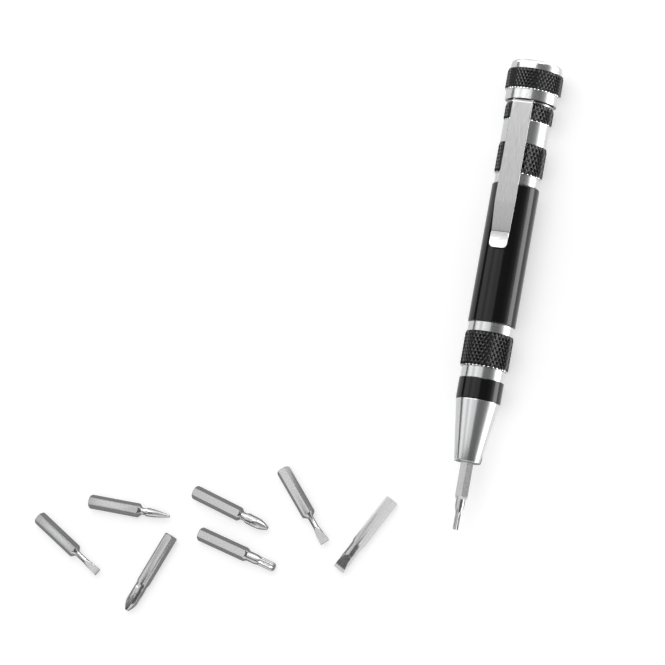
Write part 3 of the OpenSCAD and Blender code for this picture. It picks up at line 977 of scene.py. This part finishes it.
class DRESS_OT_clip(bpy.types.Operator):
    """Makes the spring clip: its ring, its folded channel and its arm"""

    bl_idname = "screwdriver.clip"
    bl_label = "Clip"

    def execute(self, context):
        self.make_arm()
        self.make_ring()
        return {"FINISHED"}

    def make_arm(self):
        """A flat plate with a rounded lip, bent to its side view."""
        bm = bmesh.new()
        wide, narrow = CLIP_HALF_WIDTH, LIP_HALF_WIDTH
        right = [(wide, HINGE_AT), (wide, SLANT_AT), (narrow, CREASE_AT), (narrow, LIP_AT)]
        plan = right + [(-x, y) for x, y in reversed(right)]
        plate = bm.faces.new([bm.verts.new((x * MM, y * MM, 0)) for x, y in plan])
        lip_corners = [v for v in plate.verts if v.co.y < (LIP_AT + NEAR) * MM]
        bevelled(bm, lip_corners, LIP_CORNER_R * MM, ROUND_STEPS, "VERTICES")
        shares = (-1, -0.5, 0, 0.5, 1)
        bends = [SLANT_AT + SLANT_HALF * share for share in shares]
        bends += [CREASE_AT + CREASE_HALF * share for share in shares]
        for station in bends:
            whole = bm.verts[:] + bm.edges[:] + bm.faces[:]
            bmesh.ops.bisect_plane(bm, geom=whole, plane_co=(0, station * MM, 0), plane_no=(0, 1, 0))
        for vert in bm.verts:
            vert.co.z = arm_face(vert.co.y / MM) * MM
        sheet_metal(bm, CLIP_THICKNESS)
        softened(bm, left_at=HINGE_AT)
        for vert in bm.verts:
            beside = abs(vert.co.y / MM - CREASE_AT) / CREASE_HALF
            if beside < 1 and vert.co.z / MM > arm_face(CREASE_AT) - sizes().edge_softness / MM:
                vert.co.z -= CREASE_GROOVE * (1 - beside) * MM
        finished("clip_arm_sheet", bm, "clip_arm", metal("satin_clip"), ["clip_arm"])

    def make_ring(self):
        """A ring round the neck whose tab bends down into a channel with two folded cheeks."""
        bm = bmesh.new()
        hole = bm.verts.new((CAP_BORE_R * MM, CLIP_TOP * MM, 0))
        rim = bm.verts.new((CLIP_RING_R * MM, CLIP_TOP * MM, 0))
        width = bm.edges.new((hole, rim))
        spun(bm, [hole, rim, width], math.tau, RING_STEPS, use_merge=True)
        outer = [v for v in bm.verts if math.hypot(v.co.x, v.co.z) / MM > CLIP_RING_R - 0.1 and v.co.z > 0]
        for side in (-1, 1):
            corner = min(outer, key=lambda v: abs(v.co.x - side * CLIP_HALF_WIDTH * MM))
            corner.co.x = side * CLIP_HALF_WIDTH * MM
            corner.co.z = math.sqrt(CLIP_RING_R**2 - CLIP_HALF_WIDTH**2) * MM
        reach = (CLIP_HALF_WIDTH + NEAR) * MM
        tab = {v for v in outer if abs(v.co.x) < reach}
        front = [e for e in bm.edges if e.is_boundary and all(v in tab for v in e.verts)]
        front = self.drawn_out(bm, front)
        for vert in ends_of(front):
            vert.co.z = (CLIP_FACE - CLIP_BEND_R) * MM
        bend_at = CLIP_TOP - CLIP_BEND_R
        middle = (0, bend_at * MM, (CLIP_FACE - CLIP_BEND_R) * MM)
        quarter = math.radians(90)
        front = edges_in(spun(bm, front + ends_of(front), quarter, ROUND_STEPS, middle, (1, 0, 0)))
        folded_half = CLIP_HALF_WIDTH - CHEEK_FOLD_R
        for station in (bend_at - CHEEK_FOLD_R / 2, HINGE_AT):
            front = self.drawn_out(bm, front)
            for vert in ends_of(front):
                vert.co.y = station * MM
                vert.co.x = max(-folded_half, min(folded_half, vert.co.x / MM)) * MM
        for side in (-1, 1):
            edge = next(
                e
                for e in bm.edges
                if e.is_boundary
                and all(abs(v.co.x / MM - side * folded_half) < NEAR for v in e.verts)
                and all(v.co.y / MM < bend_at - CHEEK_FOLD_R / 4 for v in e.verts)
            )
            middle = (side * folded_half * MM, 0, (CLIP_FACE - CHEEK_FOLD_R) * MM)
            fold = spun(bm, [edge, *edge.verts], side * quarter, FOLD_STEPS, middle)
            cheek = self.drawn_out(bm, edges_in(fold))
            for vert in cheek[0].verts:
                vert.co.z = CHEEK_REACH_R * MM
            foot = min(cheek[0].verts, key=lambda v: v.co.y)
            bevelled(bm, [foot], CHEEK_FOLD_R * MM, 4, "VERTICES")
        sheet_metal(bm, CLIP_THICKNESS)
        softened(bm, left_at=HINGE_AT)
        finished("clip_ring_sheet", bm, "clip", metal("satin_clip"), ["clip_ring"])

    def drawn_out(self, bm, edges):
        """Extends a sheet's open edges and gives the new ones, still in the old place."""
        made = bmesh.ops.extrude_edge_only(bm, edges=edges)["geom"]
        verts = {g for g in made if isinstance(g, bmesh.types.BMVert)}
        open_edges = [e for e in edges_in(made) if e.is_boundary and e.link_faces]
        return [e for e in open_edges if all(v in verts for v in e.verts)]


# The bits in millimetres. A bit is made with its butt at nought, its tip along +Y and a flat upwards.
BIT_AF = 4.0
BIT_LENGTH = 28.0
SHANK_LENGTH = 17.2
SHANK_END = 18.3
BUTT_BEVEL = 0.4
CORNER_R = BIT_AF / 2 / math.cos(math.radians(30))
FINE_EDGE = 0.05
NOSE_BIT_TURN = math.radians(13)
BIT_EDGE_TURN = math.radians(45)
BIT_SMOOTH_TURN = math.radians(28)

# How near a solid's ends its points are used to find its axis, in millimetres, closer from step to step
SETTLING_DEPTHS = (1.5, 1.0, 0.6, 0.3, 0.15, 0.15)

# Tips of the cross bits: the waist in millimetres, its slope, the flutes' flank, and shares and curves
WAIST_LENGTH = 1.2
WAIST_SLOPE = 2
FLUTE_FLANK = math.radians(46)
FLUTE_ROOT_SHARE = 0.2
FLUTE_CURVE = 1.3
POINT_LOSS_SHARE = 0.7
POINT_CURVE = 1.7

# Tips of the star bits: shaft and room before it in millimetres, then slope, run-in, share and curve
STAR_LENGTH = 5.8
STAR_ROOM = 0.3
STAR_SLOPE = 3
STAR_RUN_IN = 0.9
STAR_DEPTH_SHARE = 0.27
STAR_CURVE = 1.3

# Tips of the slotted bits: ground share of the neck, level end in millimetres, and shares of the width
GROUND_SHARE = 0.6
LEVEL_END = 1.0
BLADE_THICK_SHARE = 0.11
BLADE_CORNER_SHARE = 0.22


def hex_reach(turn):
    """Distance from the axis to the hex's face at a turn from the middle of a flat."""
    return BIT_AF / 2 / math.cos((turn + math.radians(30)) % math.radians(60) - math.radians(30))


def ground(bm, stations, shape):
    """Grinds a turned blank between two stations. Shape gives a new place from a turn and a station."""
    low, high = stations
    for vert in bm.verts:
        station = vert.co.y / MM
        if low - 0.001 < station < high + 0.001 and math.hypot(vert.co.x, vert.co.z) > NEAR * MM:
            across, along, up = shape(math.atan2(vert.co.x, vert.co.z), station)
            vert.co = Vector((across, along, up)) * MM


def round_point(turn, radius, station):
    """A point at a turn from straight up, as (across, station, up)."""
    return radius * math.sin(turn), station, radius * math.cos(turn)


def bit_blank(tip):
    """A turned blank with its six flats ground. The tip is given as (station, radius) points."""
    neck = tip[0][1]
    outline = [(0, 0), (0, CORNER_R - BUTT_BEVEL), (BUTT_BEVEL, CORNER_R)]
    outline += [(SHANK_LENGTH, CORNER_R), (SHANK_END, neck)]
    bm = turned(outline + tip[1:] + [(tip[-1][0], 0)], sizes().bit_steps)
    slope = (SHANK_END - SHANK_LENGTH) / (CORNER_R - neck)

    def butt(turn, station):
        reach = hex_reach(turn)
        return round_point(turn, reach, reach - CORNER_R + BUTT_BEVEL)

    def shoulder(turn, station):
        reach = hex_reach(turn)
        return round_point(turn, reach, SHANK_LENGTH + (CORNER_R - reach) * slope)

    ground(bm, (BUTT_BEVEL, BUTT_BEVEL), butt)
    ground(bm, (SHANK_LENGTH, SHANK_LENGTH), shoulder)
    return bm


def steps_between(start, end, count):
    """Even steps from a start, which is left out, to an end."""
    return [start + (end - start) * i / count for i in range(1, count + 1)]


def cross_tip(neck, waist_share, flute_length, point_length):
    """A waisted neck and a rounded point with four flutes of V section that leave four wings."""
    waist = neck * waist_share
    bulge_at = SHANK_END + WAIST_LENGTH + WAIST_SLOPE * (neck - waist)
    flute_at = max(bulge_at, BIT_LENGTH - flute_length)
    root_end = neck * FLUTE_ROOT_SHARE

    def outer(station):
        past = max(0.0, station - (BIT_LENGTH - point_length)) / point_length
        return neck * (1 - POINT_LOSS_SHARE * past**POINT_CURVE)

    def fluted(turn, station):
        radius = outer(station)
        left = max(0.0, BIT_LENGTH - station) / (BIT_LENGTH - flute_at)
        root = root_end + (outer(flute_at) - root_end) * left**FLUTE_CURVE
        quarter = (turn + math.radians(45)) % math.radians(90) - math.radians(45)
        middle = turn - quarter
        root = min(root, radius)
        beside = root * math.sin(FLUTE_FLANK)
        reach = math.sqrt(max(0.0, radius**2 - beside**2)) - root * math.cos(FLUTE_FLANK)
        across, out = reach * math.sin(FLUTE_FLANK), root + reach * math.cos(FLUTE_FLANK)
        edge_turn = math.atan2(across, out)
        part = abs(quarter) / math.radians(30)
        if part <= 1:
            x, z = across * part, root + (out - root) * part
        else:
            beyond = edge_turn + (math.radians(45) - edge_turn) * (part - 1) * 2
            x, z = radius * math.sin(beyond), radius * math.cos(beyond)
        x = math.copysign(x, quarter)
        return (
            x * math.cos(middle) + z * math.sin(middle),
            station,
            z * math.cos(middle) - x * math.sin(middle),
        )

    stations = steps_between(flute_at, BIT_LENGTH, 18)
    tip = [(SHANK_END, waist), (SHANK_END + WAIST_LENGTH, waist)]
    tip += [(bulge_at, neck)] if bulge_at < flute_at - 0.1 else []
    tip += [(flute_at, outer(flute_at))] + [(s, outer(s)) for s in stations]
    bm = bit_blank(tip)
    ground(bm, (stations[0], BIT_LENGTH), fluted)
    return bm


def star_tip(neck, tip_r):
    """A neck that tapers to a shaft with six round flutes and a flat bevelled end."""
    star_at = BIT_LENGTH - STAR_LENGTH
    taper_at = star_at - (neck - tip_r) * STAR_SLOPE - STAR_ROOM
    depth = STAR_DEPTH_SHARE * tip_r

    def fluted(turn, station):
        sunk = min(1.0, (station - star_at) / STAR_RUN_IN)
        lobe = 0.5 + 0.5 * math.cos(6 * turn)
        radius = tip_r - depth * sunk * lobe**STAR_CURVE
        return round_point(turn, min(radius, tip_r - max(0.0, station - BIT_LENGTH + depth)), station)

    stations = [star_at + step for step in (0.25, 0.5, STAR_RUN_IN)]
    stations += steps_between(star_at + STAR_RUN_IN, BIT_LENGTH - depth, 4)
    tip = [(SHANK_END, neck), (taper_at, neck), (star_at, tip_r)] + [(s, tip_r) for s in stations]
    bm = bit_blank(tip + [(BIT_LENGTH, tip_r - depth)])
    ground(bm, (stations[0], BIT_LENGTH), fluted)
    return bm


def slot_tip(neck, blade_width):
    """A round neck ground to a wedge on two sides, which spreads to a blade with a square end."""
    ground_at = BIT_LENGTH - (BIT_LENGTH - SHANK_END) * GROUND_SHARE
    flat_at = BIT_LENGTH - LEVEL_END
    half_width, half_thick = blade_width / 2, blade_width * BLADE_THICK_SHARE
    envelope = half_width + blade_width * BLADE_CORNER_SHARE

    def blade(turn, station):
        along = min(1.0, (station - ground_at) / (flat_at - ground_at))
        thick = neck + (half_thick - neck) * along
        wide = neck + (half_width - neck) * along
        outer = neck + (max(neck, half_width) - neck) * along
        if station > flat_at:
            outer += (envelope - outer) * (station - flat_at) / LEVEL_END
        corner = min(wide, math.sqrt(max(0.0, outer**2 - thick**2)))
        quarter = abs(math.atan2(abs(math.sin(turn)), abs(math.cos(turn))))
        part = quarter / math.radians(60)
        if part <= 1:
            x, z = corner * part, thick
        else:
            x = corner + (min(wide, outer) - corner) * math.sin(math.radians(90) * (part - 1) * 2)
            z = thick * math.cos(math.radians(90) * (part - 1) * 2)
        return math.copysign(x, math.sin(turn)), station, math.copysign(z, math.cos(turn))

    stations = steps_between(ground_at, flat_at, 12) + [BIT_LENGTH - LEVEL_END / 2, BIT_LENGTH]
    tip = [(SHANK_END, neck), (ground_at, neck)] + [(s, max(neck, half_width)) for s in stations]
    bm = bit_blank(tip)
    ground(bm, (stations[0], BIT_LENGTH), blade)
    return bm


def end_middle(points, along, end, depth):
    """The middle of the part of a solid that lies within a depth of one of its ends."""
    group = [point for point in points if abs(point.dot(along) - end) < depth]
    side = along.orthogonal().normalized()
    place = along * end
    for axis in (side, along.cross(side)):
        reach = [point.dot(axis) for point in group]
        place += axis * (min(reach) + max(reach)) / 2
    return place


def laid_bit(bm, node, roll=0.0):
    """Moves a bit to its node's place. A flat faces up, but for the roll."""
    points = [vert.co.copy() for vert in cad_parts[node].data.vertices]
    middle = sum(points, Vector()) / len(points)
    along = (max(points, key=lambda point: (point - middle).length) - middle).normalized()
    for depth in SETTLING_DEPTHS:
        reach = [point.dot(along) for point in points]
        ends = [end_middle(points, along, end, depth * MM) for end in (min(reach), max(reach))]
        along = (ends[1] - ends[0]).normalized()
    butt, tip = sorted(ends, key=lambda end: -girth(points, end, along))
    along = (tip - butt).normalized()
    side = along.cross(Vector((0, 0, 1))).normalized()
    place = Matrix((side, along, side.cross(along))).transposed().to_4x4()
    place.translation = butt
    turn = Matrix.Rotation(roll, 4, "Y")
    bmesh.ops.transform(bm, matrix=place @ turn, verts=bm.verts)
    bmesh.ops.recalc_face_normals(bm, faces=bm.faces)


def girth(points, end, along):
    """A solid's greatest distance from its axis near one of its ends. It is greater at a butt."""
    near = [point - end for point in points if abs((point - end).dot(along)) < BIT_AF / 2 * MM]
    return max((point - point.project(along)).length for point in near)


def make_bit(bm, node, roll=0.0):
    """Softens a bit's edges and puts it in the place of its node."""
    softened(bm, FINE_EDGE * MM, BIT_EDGE_TURN, 1)
    laid_bit(bm, node, roll)
    finished(node + "_ground", bm, node, metal("satin_bit"), [node], BIT_SMOOTH_TURN)


class DRESS_OT_cross_bits(bpy.types.Operator):
    """Makes the three cross-tipped bits"""

    bl_idname = "screwdriver.cross_bits"
    bl_label = "Cross Bits"

    def execute(self, context):
        make_bit(cross_tip(1.4, waist_share=0.8, flute_length=7.4, point_length=7.0), "small_cross_bit")
        make_bit(cross_tip(1.75, waist_share=0.75, flute_length=5.4, point_length=3.8), "medium_cross_bit")
        make_bit(cross_tip(1.95, waist_share=0.97, flute_length=6.4, point_length=3.7), "large_cross_bit")
        return {"FINISHED"}


class DRESS_OT_slot_bits(bpy.types.Operator):
    """Makes the three slotted bits"""

    bl_idname = "screwdriver.slot_bits"
    bl_label = "Slotted Bits"

    def execute(self, context):
        make_bit(slot_tip(0.9, blade_width=2.4), "narrow_slot_bit")
        make_bit(slot_tip(0.9, blade_width=3.0), "medium_slot_bit")
        make_bit(slot_tip(1.9, blade_width=3.8), "wide_slot_bit")
        return {"FINISHED"}


class DRESS_OT_star_bits(bpy.types.Operator):
    """Makes the star bit in the nose and the large loose one"""

    bl_idname = "screwdriver.star_bits"
    bl_label = "Star Bits"

    def execute(self, context):
        make_bit(star_tip(1.5, tip_r=1.05), "star_bit", NOSE_BIT_TURN)
        make_bit(star_tip(1.65, tip_r=1.45), "large_star_bit")
        return {"FINISHED"}


class VIEW3D_PT_screwdriver(bpy.types.Panel):
    """Lists the sizes, the colours and the steps that make the tool"""

    bl_label = "Pocket Screwdriver"
    bl_idname = "VIEW3D_PT_screwdriver"
    bl_space_type = "VIEW_3D"
    bl_region_type = "UI"
    bl_category = "Screwdriver"

    def draw(self, context):
        for group in (sizes(), finishes()):
            for name in group.__annotations__:
                self.layout.prop(group, name)
        for step in STEPS:
            self.layout.operator(step.bl_idname)


STEPS = (
    STAGE_OT_screwdriver,
    DRESS_OT_hidden_pieces,
    DRESS_OT_nose,
    DRESS_OT_barrel,
    DRESS_OT_cap,
    DRESS_OT_clip,
    DRESS_OT_cross_bits,
    DRESS_OT_slot_bits,
    DRESS_OT_star_bits,
)
CLASSES = (ScrewdriverSizes, ScrewdriverFinishes, *STEPS, VIEW3D_PT_screwdriver)


def register():
    for item in CLASSES:
        bpy.utils.register_class(item)
    bpy.types.Scene.screwdriver_sizes = PointerProperty(type=ScrewdriverSizes)
    bpy.types.Scene.screwdriver_finishes = PointerProperty(type=ScrewdriverFinishes)


def unregister():
    del bpy.types.Scene.screwdriver_finishes
    del bpy.types.Scene.screwdriver_sizes
    for item in reversed(CLASSES):
        bpy.utils.unregister_class(item)


def main():
    """Makes the whole picture."""
    register()
    for step in STEPS:
        group, name = step.bl_idname.split(".")
        getattr(getattr(bpy.ops, group), name)()


if __name__ == "__main__":
    main()
